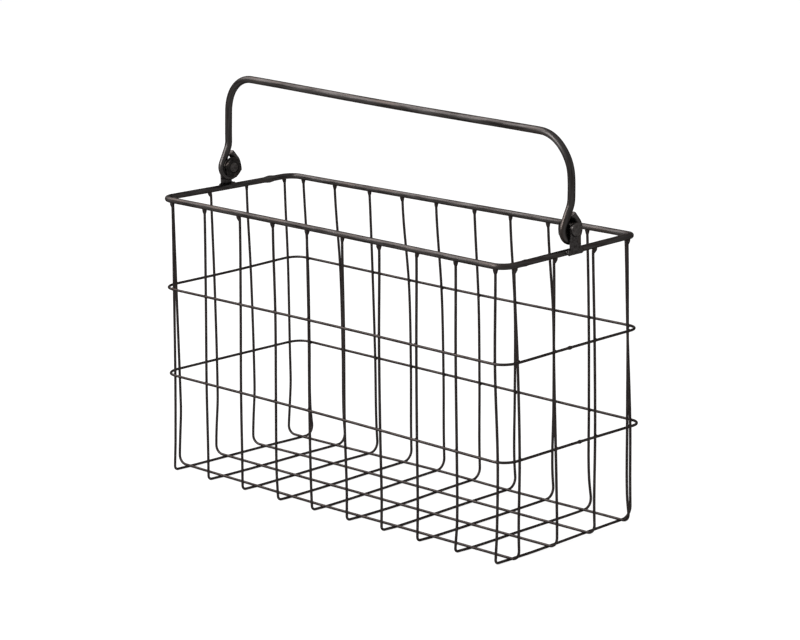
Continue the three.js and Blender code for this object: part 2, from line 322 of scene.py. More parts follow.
def new_tree(name, inputs):
    """An empty tree with the named inputs, given as (name, socket type, default)."""
    tree = bpy.data.node_groups.new(name, "GeometryNodeTree")
    tree.is_modifier = True
    for way in ("INPUT", "OUTPUT"):
        tree.interface.new_socket("Geometry", in_out=way, socket_type="NodeSocketGeometry")
    for title, kind, default in inputs:
        socket = tree.interface.new_socket(
            title, in_out="INPUT", socket_type="NodeSocket" + kind)
        if default is not None:
            socket.default_value = default
    return tree, TreeMaker(tree), tree.nodes.new("NodeGroupInput").outputs


def rod_tree():
    """Sweeps a round section along a path, with dents and a grain that follows the rod."""
    if "Rod Along Path" in bpy.data.node_groups:
        return bpy.data.node_groups["Rod Along Path"]
    tree, make, given = new_tree("Rod Along Path", (
        ("Diameter", "Float", 4 * MM), ("Sides", "Int", 16), ("Unevenness", "Float", 0.1 * MM),
        ("Dent Spacing", "Float", 6 * MM), ("Seed", "Int", 0), ("Material", "Material", None),
    ))
    radius = make.math("MULTIPLY", given["Diameter"], 0.5)
    path = make.add("GeometryNodeMeshToCurve", {"Mesh": given["Geometry"]})
    length = make.node("GeometryNodeSplineParameter").outputs["Length"]
    curve = make.store(path, "travel", "FLOAT", length)
    circle = make.add("GeometryNodeCurvePrimitiveCircle",
                      {"Resolution": given["Sides"], "Radius": radius}, mode="RADIUS")
    unit = make.vector("NORMALIZE", make.add("GeometryNodeInputPosition"))
    profile = make.store(circle, "section", "FLOAT_VECTOR", unit)
    girth = make.attribute("girth", "FLOAT")
    sweep = make.add("GeometryNodeCurveToMesh", {
        "Curve": curve, "Profile Curve": profile, "Scale": girth, "Fill Caps": True})

    travel = make.math("DIVIDE", make.attribute("travel", "FLOAT"), radius)
    section = make.attribute("section", "FLOAT_VECTOR")
    grain = make.vector("ADD", section, make.combined(Z=travel))
    shift = make.combined(X=make.math("MULTIPLY", given["Seed"], SEED_SHIFT))
    grain = make.vector("ADD", grain, shift)
    rod_mesh = make.store(sweep, "grain", "FLOAT_VECTOR", grain)

    dents = make.combined(
        X=DENTS_ROUND_ROD, Y=DENTS_ROUND_ROD, Z=make.math("DIVIDE", radius, given["Dent Spacing"]))
    where = make.vector("MULTIPLY", make.attribute("grain", "FLOAT_VECTOR"), dents)
    swelling = make.math("MULTIPLY", make.math("SUBTRACT", girth, 1.0), SWELLING_LUMPS)
    lumps = make.math("ADD", make.math("MAXIMUM", swelling, 0.0), 1.0)
    height = make.math("MULTIPLY", given["Unevenness"], lumps)
    make.finish(make.uneven(rod_mesh, where, 1.0, height, 2.0), given["Material"])
    return tree


def bead_tree():
    """Sets a lumpy weld bead on every point, lying flat against the way it faces."""
    if "Weld Beads" in bpy.data.node_groups:
        return bpy.data.node_groups["Weld Beads"]
    tree, make, given = new_tree("Weld Beads", (
        ("Width", "Float", 2.5 * MM), ("Height", "Float", 1.7 * MM),
        ("Unevenness", "Float", 0.3 * MM), ("Seed", "Int", 0), ("Material", "Material", None),
    ))
    drop = make.add("GeometryNodeMeshIcoSphere", {"Radius": 0.5, "Subdivisions": 3})
    turn = make.node(
        "FunctionNodeRandomValue", {3: math.tau, "Seed": given["Seed"]}, data_type="FLOAT")
    spin = make.add(
        "FunctionNodeAxisAngleToRotation", {"Axis": (0, 0, 1), "Angle": turn.outputs[1]})
    facing = make.attribute("facing", "FLOAT_VECTOR")
    face = make.add(
        "FunctionNodeAlignRotationToVector", {"Rotation": spin, "Vector": facing}, axis="Z")
    least, most = BEAD_SIZE_SHARES
    size = make.add(
        "FunctionNodeRandomValue",
        {0: least, 1: most, "Seed": make.math("ADD", given["Seed"], 1.0)},
        data_type="FLOAT_VECTOR")
    shape = make.combined(X=given["Width"], Y=given["Width"], Z=given["Height"])
    beads = make.add("GeometryNodeInstanceOnPoints", {
        "Points": given["Geometry"], "Instance": drop, "Rotation": face,
        "Scale": make.vector("MULTIPLY", size, shape)})
    real = make.add("GeometryNodeRealizeInstances", {"Geometry": beads})
    where = make.add("GeometryNodeInputPosition")
    lumpy = make.uneven(real, where, BEAD_LUMPS_PER_METRE, given["Unevenness"], 1.0)
    make.finish(lumpy, given["Material"])
    return tree


def grown(name, mesh, tree, values):
    """The plain mesh piece that a tree makes from a starting mesh."""
    piece = bpy.data.objects.new(name, mesh)
    bpy.context.scene.collection.objects.link(piece)
    modifier = piece.modifiers.new("Shape", "NODES")
    modifier.node_group = tree
    sockets = {s.name: s.identifier for s in tree.interface.items_tree if s.in_out == "INPUT"}
    for title, value in values.items():
        modifier[sockets[title]] = value
    graph = bpy.context.evaluated_depsgraph_get()
    result = bpy.data.meshes.new_from_object(
        piece.evaluated_get(graph), preserve_all_data_layers=True, depsgraph=graph)
    if len(result.polygons) == 0:
        raise RuntimeError("%s came out empty" % name)
    piece.modifiers.clear()
    piece.data = result
    result.name = name
    bpy.data.meshes.remove(mesh)
    return piece


def rod(name, points, girths, closed, diameter, sides, unevenness, spacing, seed, material):
    """A rod along the points, each with its own share of the full thickness."""
    mesh = bpy.data.meshes.new(name + "_path")
    edges = [(i, i + 1) for i in range(len(points) - 1)]
    if closed:
        edges.append((len(points) - 1, 0))
    mesh.from_pydata([tuple(p) for p in points], edges, [])
    girth = mesh.attributes.new("girth", "FLOAT", "POINT")
    girth.data.foreach_set("value", girths)
    return grown(name, mesh, rod_tree(), {
        "Diameter": diameter, "Sides": sides, "Unevenness": unevenness,
        "Dent Spacing": spacing, "Seed": seed, "Material": material})


def settle(piece, body, slot, *nodes):
    """Hands a finished piece to the frame."""
    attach(piece, body)
    if nodes:
        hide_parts(*nodes)


# Materials

# Scales of the streaks, the patches and the pits: on a rod's own grain, where the third number
# runs along the rod, and on a fitting, in counts per metre
ROD_SCALES = (1.6, 1.6, 0.12), (0.7, 0.7, 0.1), (4, 4, 2.2)
FITTING_SCALES = (500,) * 3, (220,) * 3, (1400,) * 3

# Where the streaks' noise goes from the dark to the light tone, where the patches begin and are
# full, and how much of the tone a full patch takes
STREAK_RANGE, PATCH_RANGE, PATCH_SHARE = (0.32, 0.68), (0.54, 0.7), 0.75

# Where the streaks' noise goes from the smoothest to the roughest place, and how far both are
# from the middle roughness
ROUGHNESS_RANGE, SMOOTHEST, ROUGHEST = (0.3, 0.7), 0.07, 0.09
RELIEF_STRENGTH, RELIEF_DEPTH = 0.35, 0.1 * MM
METALLIC, SPECULAR_TINT = 0.9, (0.35, 0.33, 0.32, 1)

# Every finish: name, dark and light tone, roughness past the middle one, whether its streaks
# follow a rod, and the scale of its patches
FINISHES = {
    "thin_wire": ("Dark iron wire", "wire_dark", "wire_light", 0.0, True, 1.0),
    "rim_rod": ("Antiqued iron rim", "rod_dark", "rod_light", 0.0, True, 1.0),
    "handle_rod": ("Antiqued iron handle", "rod_dark", "rod_light", -0.03, True, 0.9),
    "beads": ("Dark iron weld", "wire_dark", "wire_light", 0.0, False, 1.0),
    "rim_strap": ("Antiqued iron strap", "rod_dark", "rod_light", 0.0, False, 1.0),
    "bolts": ("Worn steel", "fitting_light", "worn", -0.08, False, 1.0),
    "fasteners": ("Blackened steel", "fitting_dark", "fitting_light", -0.06, False, 1.0),
}


def iron(name, dark, light, brown, roughness, follows_rod, patch_size):
    """Dark antiqued iron: streaks, brown patches, worn lighter places and a fine bump."""
    if name in bpy.data.materials:
        return bpy.data.materials[name]
    material = bpy.data.materials.new(name)
    material.use_nodes = True
    make = TreeMaker(material.node_tree)
    shader = material.node_tree.nodes["Principled BSDF"]
    if follows_rod:
        source = make.node("ShaderNodeAttribute", attribute_name="grain").outputs["Vector"]
    else:
        source = make.node("ShaderNodeTexCoord").outputs["Object"]
    streak_scale, patch_scale, pit_scale = ROD_SCALES if follows_rod else FITTING_SCALES

    def texture(scale, detail, rough=0.5):
        place = make.add(
            "ShaderNodeMapping", {"Vector": source, "Scale": [s * patch_size for s in scale]})
        node = make.node("ShaderNodeTexNoise", {
            "Vector": place, "Scale": 1, "Detail": detail, "Roughness": rough})
        return node.outputs["Fac"]

    def spread(value, low, high, to_low=0.0, to_high=1.0):
        return make.add("ShaderNodeMapRange", {
            "Value": value, "From Min": low, "From Max": high, "To Min": to_low, "To Max": to_high})

    def mixed(share, a, b):
        tones = [t if isinstance(t, bpy.types.NodeSocket) else (*t, 1) for t in (a, b)]
        node = make.node(
            "ShaderNodeMix", {"Factor": share, 6: tones[0], 7: tones[1]}, data_type="RGBA")
        return node.outputs[2]

    streaks = texture(streak_scale, 4, 0.6)
    patches = texture(patch_scale, 3)
    pits = texture(pit_scale, 3, 0.65)
    colour = mixed(spread(streaks, *STREAK_RANGE), dark, light)
    colour = mixed(spread(patches, *PATCH_RANGE, 0, PATCH_SHARE), colour, brown)
    relief = make.add("ShaderNodeBump", {
        "Strength": RELIEF_STRENGTH, "Distance": RELIEF_DEPTH, "Height": pits})
    uneven_shine = spread(
        streaks, *ROUGHNESS_RANGE, roughness - SMOOTHEST, roughness + ROUGHEST)
    for title, value in (
            ("Base Color", colour), ("Normal", relief), ("Roughness", uneven_shine),
            ("Metallic", METALLIC), ("Specular Tint", SPECULAR_TINT)):
        make.put(shader.inputs[title], value)
    return material


def finish_of(context, finish):
    """The material of a finish, in the colours of the panel."""
    tones = settings(context, "finish")
    name, dark, light, rougher, follows_rod, patch_size = FINISHES[finish]
    return iron(name, getattr(tones, dark), getattr(tones, light), tones.brown,
                tones.gloss + rougher, follows_rod, patch_size)


# Rings

# Up and down wander of every ring in millimetres, at its four corners and halfway between
# them, and each corner's share of the full radius; both begin at the front left corner
RING_RISE = {
    "rim": (0.4, 0.3, -0.4, 0.1, 0.7, -0.3, -1.4, -0.7),
    "upper_belt": (-0.3, 0.3, -0.5, 0.4, 0.9, -0.2, 0.5, -0.5),
    "lower_belt": (0.9, 0.7, -1.2, -0.8, -0.7, -0.2, 0.3, 0.7),
}
RING_CORNER_SHARES = {
    "rim": (0.85, 1, 0.45, 1),
    "upper_belt": (1.2, 1, 0.9, 1),
    "lower_belt": (1.2, 1, 0.9, 1),
}

# Thick places of every ring: 1 on the right or -1 on the left, the place along that side and
# the length in millimetres, and how much thicker the ring is there
RING_SWELLINGS = {
    "rim": ((-1, 42, 11, 0.28), (1, -44.5, 6, 0.12)),
    "upper_belt": ((1, -4.5, 4.5, 0.5),),
    "lower_belt": ((1, 4.3, 4.5, 0.5),),
}

WIRE_UNEVENNESS = 0.07 * MM
RING_STEP, RING_CORNER_STEPS = 2.5 * MM, 10
RING_DENT_SPACING = 9 * MM
SIDE_REACH = 1 * MM

# Room between the belts and their packed box, and how far their left sides are pressed in
BELT_ROOM = 0.2 * MM
LEFT_INSET = 1.2 * MM
INSET_POWER = 12


def ring_line(half_length, half_width, height, radii):
    """A closed rectangle with its own radius at each corner, begun at the middle of its left."""
    corners = [
        Vector((x * half_length, y * half_width, height))
        for x, y in ((-1, -1), (1, -1), (1, 1), (-1, 1))
    ]
    points = [Vector((-half_length, 0, height))]
    for i, corner in enumerate(corners):
        points += rounded(
            corners[i - 1], corner, corners[(i + 1) % 4], radii[i], RING_CORNER_STEPS)
    return divided(points, RING_STEP, closed=True)


def ring_rise(node, x, y):
    """How far a ring wanders up at a place on it."""
    low, high = RINGS[node]
    across, deep = 2 * x / (high.x - low.x), 2 * y / (high.y - low.y)
    if abs(deep) > abs(across):
        place = 1 + across if deep < 0 else 5 - across
    else:
        place = 3 + deep if across > 0 else 7 - deep
    rises = RING_RISE[node]
    rows = [(k, rises[k % 8]) for k in range(-1, 10)]
    return eased(rows, place) * MM


def ring(context, node, diameter, corner, sides, unevenness, slot, seed, room=0.0, inset=0.0):
    """A closed ring of rod at its node's place."""
    low, high = RINGS[node]
    half_length = (high.x - low.x) / 2 - diameter / 2 - room
    half_width = (high.y - low.y) / 2 - diameter / 2 - room
    radii = [share * corner for share in RING_CORNER_SHARES[node]]
    points = ring_line(half_length, half_width, (low.z + high.z) / 2, radii)
    for p in points:
        p.z += ring_rise(node, p.x, p.y)
        p.x += inset * max(0.0, -p.x / half_length) ** INSET_POWER
    girths = []
    for p in points:
        share = 1.0
        for side, place, length, height in RING_SWELLINGS[node]:
            if side * p.x > half_length - SIDE_REACH:
                share += height * bump(p.y - place * MM, length * MM)
        girths.append(share)
    piece = rod(node + "_ring", points, girths, True, diameter, sides, unevenness,
                RING_DENT_SPACING, seed, finish_of(context, slot))
    settle(piece, "basket", slot, node)


class BASKET_OT_rim(Operator):
    """Make the thick rim rod with its weld"""
    bl_idname = "basket.rim"
    bl_label = "Rim"

    def execute(self, context):
        rods = settings(context, "rods")
        ring(context, "rim", rods.rim_diameter, rods.rim_corner, rods.sides, rods.unevenness,
             "rim_rod", seed=1)
        return {"FINISHED"}


class BASKET_OT_belts(Operator):
    """Make the two wires that run round the walls"""
    bl_idname = "basket.belts"
    bl_label = "Belts"

    def execute(self, context):
        wires, rods = settings(context, "wires"), settings(context, "rods")
        for node, seed in (("upper_belt", 3), ("lower_belt", 4)):
            ring(context, node, wires.wire_diameter, rods.belt_corner, wires.sides,
                 WIRE_UNEVENNESS, "thin_wire", seed, BELT_ROOM, LEFT_INSET)
        return {"FINISHED"}


# Wires

SWAY_HEIGHTS = (25, 75, 140, 203)

# Sideways wander of every upright in millimetres, at the four heights above
FRONT_SWAY = (
    (-1.8, -0.2, 0.7, 1.4), (-1.4, -1.5, -0.2, 0.6), (-0.1, 0, 1.5, 2.5), (0.5, 1.1, 2.1, 1),
    (0.2, -0.2, 0.3, -0.2), (0.8, -0.6, -0.2, -0.9), (-0.5, -1.4, -1.7, -0.6),
    (-1.4, -1.8, -1.8, -1), (0, -0.1, -0.8, -0.4), (0.9, 1.7, -0.8, -0.3),
)
BACK_SWAY = (
    (-0.7, 2, 4.8, 4.3), (0.1, 2.5, 4.2, 2.2), (-0.4, 1.5, 2.8, 3.4), (0.5, 3.2, 4.9, 1.6),
    (-1.6, 0.7, 2.2, -0.1), (-1.5, 1, 3.2, 2.3), (-3, -0.2, 2.7, 1.1),
    (-2, 1.2, 3.5, 1.2), (-3.3, -1.6, 0.6, 1.5), (-1, 0.5, 0, 0.4),
)
LEFT_SWAY = (
    (-0.7, -0.3, -0.3, -0.3), (-1.9, -0.7, -0.3, -0.6), (-1.8, -1, -1.2, -2.6),
    (-1.8, -1.3, -0.6, -1.5),
)
RIGHT_SWAY = (
    (-0.8, 1.5, 1.4, -0.3), (-0.6, -0.7, -1, 0.6), (-0.6, 1.3, 2.1, 1.8),
    (-4.3, -3.4, -1.8, -1.1),
)

# Sideways wander on the floor in millimetres: of each cross wire just behind its front bend
# and where it meets the four long wires, and of each long wire where it meets five of the
# cross wires
CROSS_FLOOR_SWAY = (
    (-3.3, -2.4, -1.3, -0.2, 1.6), (-1.5, -0.6, 0.3, 0.4, 1.2), (-0.2, 0.7, 0.3, -0.5, 0.1),
    (1.9, 2.6, 2.1, 0.5, -0.3), (1.2, 2, 0.9, -0.8, -2.1), (0.6, 1.5, 1.5, -0.5, -1.7),
    (-0.9, 0.3, -1.1, -1.9, -1.9), (-2.1, -1.1, -1.3, -0.8, -0.9), (-2.1, -1.1, -1.2, -0.4, -0.3),
    (-0.6, -0.3, -0.3, -1.1, -1.4),
)
LONG_FLOOR_SWAY = (
    (-2.1, -3, -3.8, -2.3, -0.8), (-2.9, -2.8, -2.2, -1.9, -1.2),
    (-2.7, -0.4, 0.1, -0.3, -0.4), (-3.6, -1.5, 0.3, -1.8, -1.6),
)
FRONT_BEND_PLACE = 3 * MM
MET_CROSS_WIRES = (0, 2, 4, 6, 9)

# Every nugget's lean to the side in millimetres and its share of the full size
FRONT_NUGGETS = (
    (-0.3, 1.15), (-0.1, 1.1), (-1.3, 1.1), (-0.4, 1.1), (0.3, 1.35), (0.3, 0.8), (-0.2, 1.45),
    (0.7, 0.9), (0, 1.15), (0, 1.15),
)
BACK_NUGGETS = (
    (0, 0.9), (0.3, 1), (0, 0.9), (-0.3, 1), (0.2, 0.9), (0, 1), (0.3, 0.9), (-0.2, 1), (0, 1),
    (0, 0.9),
)
LEFT_NUGGETS = ((-0.2, 1), (-1.2, 1), (0, 0.5), (-0.4, 0.9))
RIGHT_NUGGETS = ((1, 1.1), (1.3, 1.15), (1.6, 1.25), (0.6, 1.1))
NUGGET_POWER = 0.7

# How far the wires' ends stay below the rim's middle, and the finely divided stretch there
TIP_DEPTH = 0.8 * MM
FINE_LENGTH, FINE_STEP = 5.5 * MM, 0.5 * MM
WIRE_STEP, BEND_STEPS = 3.5 * MM, 7
WIRE_DENT_SPACING = 5 * MM

# The long wires' left uprights bulge outwards just over the floor: how far, at what height,
# and twice how far the swelling reaches above and below it
LEFT_BULGE = 2.4 * MM
BULGE_HEIGHT = 6 * MM
BULGE_ABOVE, BULGE_BELOW = 80 * MM, 50 * MM

# The floor keeps this room to its packed box, and lifts towards its right back corner; that
# lift fades out up the walls, and the rim's rise fades in from a height
FLOOR_ROOM = 0.06 * MM
FLOOR_RISE = 0.6 * MM
FLOOR_HALF_LENGTH, FLOOR_HALF_WIDTH = 180 * MM, 70 * MM
FLOOR_FADE = 60 * MM
RIM_FADE = 120 * MM


def lies_at(node):
    """Where a bent wire's plane is, and how far it reaches, from its packed box."""
    low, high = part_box(node)
    return (low + high) / 2, low, high


def floor_rise(x, y):
    """How far the floor lifts at a place on it."""
    across, deep = x / FLOOR_HALF_LENGTH, y / FLOOR_HALF_WIDTH
    return max(0.0, FLOOR_RISE * (across + deep + across * deep))


def upright_stations(base_half, top_half, level, side, sways, scale):
    """Sideways wander of one upright, against how far its place lies along the wire."""
    lean = (base_half - top_half) / (RIM_AXIS - level)
    rows = []
    for height, sway in zip(SWAY_HEIGHTS, sways):
        rise = height * MM - level
        rows.append((side * (base_half - lean * rise + rise), sway * MM * scale))
    return rows if side > 0 else rows[::-1]


def u_wire(base_half, top_half, level, radii):
    """A wire's true line in its own plane, as (across, height), from tip to tip."""
    top = RIM_AXIS - TIP_DEPTH
    lean = (base_half - top_half) / (RIM_AXIS - level)
    tip_half = top_half + lean * (RIM_AXIS - top)
    neck_half = top_half + lean * (RIM_AXIS - top + FINE_LENGTH)
    corners = [Vector((-tip_half, 0, top)), Vector((-base_half, 0, level)),
               Vector((base_half, 0, level)), Vector((tip_half, 0, top))]
    left = divided([corners[0], Vector((-neck_half, 0, top - FINE_LENGTH))], FINE_STEP)
    right = divided([Vector((neck_half, 0, top - FINE_LENGTH)), corners[3]], FINE_STEP)
    bends = [*rounded(*corners[:3], radii[0], BEND_STEPS),
             *rounded(*corners[1:], radii[1], BEND_STEPS)]
    middle = divided([left[-1], *bends, right[0]], WIRE_STEP)
    return left[:-1] + middle + right[1:]


def bent_wire(context, node, along_x, sways, floor, nuggets, radii, seed, press=0.0, bulge=0.0):
    """One bent wire with its own wander and its two flared tops."""
    wires, rods = settings(context, "wires"), settings(context, "rods")
    scale = wires.hand_work
    middle, low, high = lies_at(node)
    radius = wires.wire_diameter / 2
    axis = 0 if along_x else 1
    base_half = (high[axis] - low[axis]) / 2 - radius
    level = low.z + radius + FLOOR_ROOM
    top_half = (RIM_HIGH[axis] - RIM_LOW[axis]) / 2 - rods.rim_diameter / 2
    stations = (
        upright_stations(base_half, top_half, level, -1, sways[0], scale)
        + [(place, sway * MM * scale) for place, sway in floor]
        + upright_stations(base_half, top_half, level, 1, sways[1], scale)
    )
    points, girths = [], []
    for p in u_wire(base_half, top_half, level, radii):
        side = math.copysign(1, p.x)
        lean, size = nuggets[0 if side < 0 else 1]
        near = max(0.0, min(1.0, 1 - (RIM_LOW.z - p.z) / wires.nugget_height))
        unrolled = p.x + side * (p.z - level)
        sway = eased(stations, unrolled) + lean * MM * near * scale
        across = p.x
        if side < 0 and bulge:
            inwards = unrolled + base_half + BULGE_HEIGHT
            out = bulge * scale * bump(min(0, inwards), BULGE_ABOVE)
            across -= out * bump(max(0, inwards), BULGE_BELOW)
        x, y = (across, middle.y + sway) if along_x else (middle.x + sway, across)
        lift = (floor_rise(x, y) * scale + press) * max(0.0, 1 - (p.z - level) / FLOOR_FADE)
        high_up = max(0.0, (p.z - RIM_FADE) / (RIM_AXIS - RIM_FADE)) ** 2
        lift += ring_rise("rim", x, y) * scale * high_up
        points.append(Vector((x, y, p.z + lift)))
        flare = size * (wires.nugget_diameter / wires.wire_diameter - 1) * near ** NUGGET_POWER
        girths.append(1 + flare)
    piece = rod(node + "_bent", points, girths, False, wires.wire_diameter, wires.sides,
                WIRE_UNEVENNESS, WIRE_DENT_SPACING, seed, finish_of(context, "thin_wire"))
    settle(piece, "basket", "thin_wire", node)


class BASKET_OT_cross_wires(Operator):
    """Make the ten wires that run from the front rim under the floor to the back rim"""
    bl_idname = "basket.cross_wires"
    bl_label = "Cross Wires"

    def execute(self, context):
        sizes = settings(context, "wires")
        rows = [lies_at(CROSS_WIRES[0])[1].y + FRONT_BEND_PLACE]
        rows += [lies_at(node)[0].y for node in LONG_WIRES]
        for i, node in enumerate(CROSS_WIRES):
            bent_wire(context, node, False, (FRONT_SWAY[i], BACK_SWAY[i]),
                      list(zip(rows, CROSS_FLOOR_SWAY[i])), (FRONT_NUGGETS[i], BACK_NUGGETS[i]),
                      (sizes.front_bend, sizes.back_bend), seed=10 + i)
        return {"FINISHED"}


class BASKET_OT_long_wires(Operator):
    """Make the four wires that run from the left rim along the floor to the right rim"""
    bl_idname = "basket.long_wires"
    bl_label = "Long Wires"

    def execute(self, context):
        sizes = settings(context, "wires")
        places = [lies_at(CROSS_WIRES[i])[0].x for i in MET_CROSS_WIRES]
        for i, node in enumerate(LONG_WIRES):
            bent_wire(context, node, True, (LEFT_SWAY[i], RIGHT_SWAY[i]),
                      list(zip(places, LONG_FLOOR_SWAY[i])), (LEFT_NUGGETS[i], RIGHT_NUGGETS[i]),
                      (sizes.left_bend, sizes.right_bend), seed=30 + i,
                      press=-sizes.weld_depth, bulge=LEFT_BULGE)
        return {"FINISHED"}


# Welds between crossing wires

BEAD_UNEVENNESS = 0.35 * MM
BELT_REACH = 2.5 * MM
BEAD_PAST_UPRIGHT = 1.1 * MM
CROSSING_REACH = 3 * MM
FLOOR_TOP = 20 * MM


def middle_of(points):
    return sum(points, Vector()) / len(points)


class BASKET_OT_weld_beads(Operator):
    """Make the small welds where the wires cross on the floor and at the belts"""
    bl_idname = "basket.weld_beads"
    bl_label = "Weld Beads"

    def execute(self, context):
        sizes = settings(context, "wires")
        wires = {}
        for node in CROSS_WIRES + LONG_WIRES:
            mesh = bpy.data.objects[node + "_bent"].data
            wires[node] = [v.co.copy() for v in mesh.vertices]
        spots = self.belt_spots(wires) + self.floor_spots(wires)
        mesh = bpy.data.meshes.new("weld_points")
        mesh.from_pydata([tuple(place) for place, _ in spots], [], [])
        facing = mesh.attributes.new("facing", "FLOAT_VECTOR", "POINT")
        facing.data.foreach_set("vector", [c for _, way in spots for c in way])
        piece = grown("weld_beads", mesh, bead_tree(), {
            "Width": sizes.bead_width, "Height": sizes.bead_height,
            "Unevenness": BEAD_UNEVENNESS, "Seed": 5, "Material": finish_of(context, "beads")})
        settle(piece, "basket", "thin_wire")
        return {"FINISHED"}

    def belt_spots(self, wires):
        """Where the uprights pass the belts, between the two wires."""
        spots = []
        for belt in ("upper_belt", "lower_belt"):
            low, high = RINGS[belt]
            height = (low.z + high.z) / 2
            for node, points in wires.items():
                near = [p for p in points if abs(p.z - height) < BELT_REACH]
                axis = 0 if node in LONG_WIRES else 1
                for side in (-1, 1):
                    way = Vector((side, 0, 0)) if axis == 0 else Vector((0, side, 0))
                    inset = LEFT_INSET if way.x < 0 else 0.0
                    place = middle_of([p for p in near if p[axis] * side > 0])
                    place += way * (BEAD_PAST_UPRIGHT - inset / 2)
                    place.z = height + ring_rise(belt, place.x, place.y)
                    spots.append((place, way))
        return spots

    def floor_spots(self, wires):
        """Where the long wires lie on the cross wires."""
        spots = []
        for cross in CROSS_WIRES:
            for along in LONG_WIRES:
                x, y = lies_at(cross)[0].x, lies_at(along)[0].y
                top, bottom = (
                    middle_of([p for p in wires[node]
                               if abs(p[axis] - at) < CROSSING_REACH and p.z < FLOOR_TOP])
                    for node, axis, at in ((along, 0, x), (cross, 1, y)))
                place = Vector((bottom.x, top.y, (top.z + bottom.z) / 2))
                spots.append((place, Vector((0, 0, 1))))
        return spots


# Fittings

# How far each end's bolt, with its lug, washer and nut, lies off the hinge's axis
BOLT_PLAY = {"left": Vector((0, -0.8 * MM, -0.2 * MM)), "right": Vector((0, 0.2 * MM, 0.7 * MM))}
MERGE_DISTANCE = 1e-7

STRAP_STEPS, STRAP_SOFT_EDGE, STRAP_SHARP_DEGREES = 72, 0.35 * MM, 40
STRAP_OFF_RIM, STRAP_OFF_BOLT_END = 0.2 * MM, 2.4 * MM
FOOT_ROOM = 0.5 * MM

# Weld lumps at each edge of a strap's foot: how far inwards, past the edge and above the rim's
# middle, and half sizes, all in millimetres, and a seed
FOOT_LUMPS = ((0, 0.4, 0, (1.5, 2.5, 2.15), 0), (0.9, 1.9, 0.3, (1.2, 1.7, 1.6), 5))
LUMP_SWELL_SHARE, LUMP_NOISE_SCALE, LUMP_SEED_SHIFT = 0.22, 1.4, 3.1

BOLT_SIDES, WASHER_SIDES, NUT_SIDES = 48, 64, 72
HEAD_THICKNESS, HEAD_FILLET = 2.2 * MM, 0.3 * MM
HEAD_EDGE, HEAD_EDGE_START = 0.2 * MM, 0.15 * MM
HEAD_SHOULDER, SHOULDER_STEPS, SHOULDER_STEP_DEGREES = 1.7 * MM, 8, 9
HEAD_CROWN, CROWN_SHARES = 0.1 * MM, (0.5, 0.2)
PLAIN_SHANK, THREAD_DEPTH, THREAD_ROWS_A_TURN = 4 * MM, 0.35 * MM, 6
TIP_LENGTH, TIP_INSETS = 0.4 * MM, (1.6 * MM, 0.9 * MM)
WASHER_SOFT_EDGE = 0.2 * MM

NUT_TURN_DEGREES = {"left": 18, "right": 30}
NUT_THICKNESS = {"left": 2.5 * MM, "right": 1.5 * MM}
NUT_BORE_ROOM, NUT_FACE_EDGE, NUT_SOFT_EDGE = 0.1 * MM, 0.3 * MM, 0.15 * MM
NUT_CHAMFER_REACH, NUT_CHAMFER_SHARE, NUT_CHAMFER_DEGREES = 0.2 * MM, 0.7, 30


def new_piece(name, bm, material, smooth_angle=35):
    """A shaded mesh piece from finished bmesh work."""
    bmesh.ops.remove_doubles(bm, verts=bm.verts, dist=MERGE_DISTANCE)
    bmesh.ops.recalc_face_normals(bm, faces=bm.faces)
    limit = math.radians(smooth_angle)
    for face in bm.faces:
        face.smooth = True
    for edge in bm.edges:
        if len(edge.link_faces) == 2 and edge.calc_face_angle(0) > limit:
            edge.smooth = False
    mesh = bpy.data.meshes.new(name)
    bm.to_mesh(mesh)
    bm.free()
    mesh.materials.append(material)
    piece = bpy.data.objects.new(name, mesh)
    bpy.context.scene.collection.objects.link(piece)
    return piece


def fitting(context, bm, side, turn, kind, form, finish, slot, spin=0.0, smooth_angle=35):
    """Moves a fitting from the origin to its bolt, at its own end, and finishes it."""
    place = Matrix.Translation(PIVOT + BOLT_PLAY[side])
    bm.transform(place @ Matrix.Rotation(turn, 4, "Z") @ Matrix.Rotation(spin, 4, "X"))
    node = "%s_%s" % (side, kind)
    piece = new_piece("%s_%s" % (node, form), bm, finish_of(context, finish), smooth_angle)
    settle(piece, "basket", slot, node)


def bridge(bm, a, b):
    """Faces between two loops that have as many points."""
    for k in range(len(a)):
        n = (k + 1) % len(a)
        bm.faces.new((a[k], a[n], b[n], b[k]))


def turned(bm, profile, sides, closed_ends=False):
    """A shape turned round X from (x, radius) pairs; a radius may depend on the angle."""
    rings = []
    for x, radius in profile:
        verts = []
        for k in range(sides):
            angle = math.tau * k / sides
            r = radius(angle) if callable(radius) else radius
            verts.append(bm.verts.new((x, r * math.cos(angle), r * math.sin(angle))))
        rings.append(verts)
    for a, b in zip(rings, rings[1:] if closed_ends else rings[1:] + rings[:1]):
        bridge(bm, a, b)
    if closed_ends:
        bm.faces.new(rings[0][::-1])
        bm.faces.new(rings[-1])


def lump(bm, place, size, seed):
    """A lumpy blob of weld metal."""
    made = bmesh.ops.create_icosphere(bm, subdivisions=3, radius=1)["verts"]
    for vert in made:
        way = vert.co.copy()
        shift = Vector((seed * LUMP_SEED_SHIFT, 0, 0))
        swell = 1 + LUMP_SWELL_SHARE * noise.noise(way * LUMP_NOISE_SCALE + shift)
        vert.co = Vector(place) + Vector([c * s * swell for c, s in zip(way, size)])


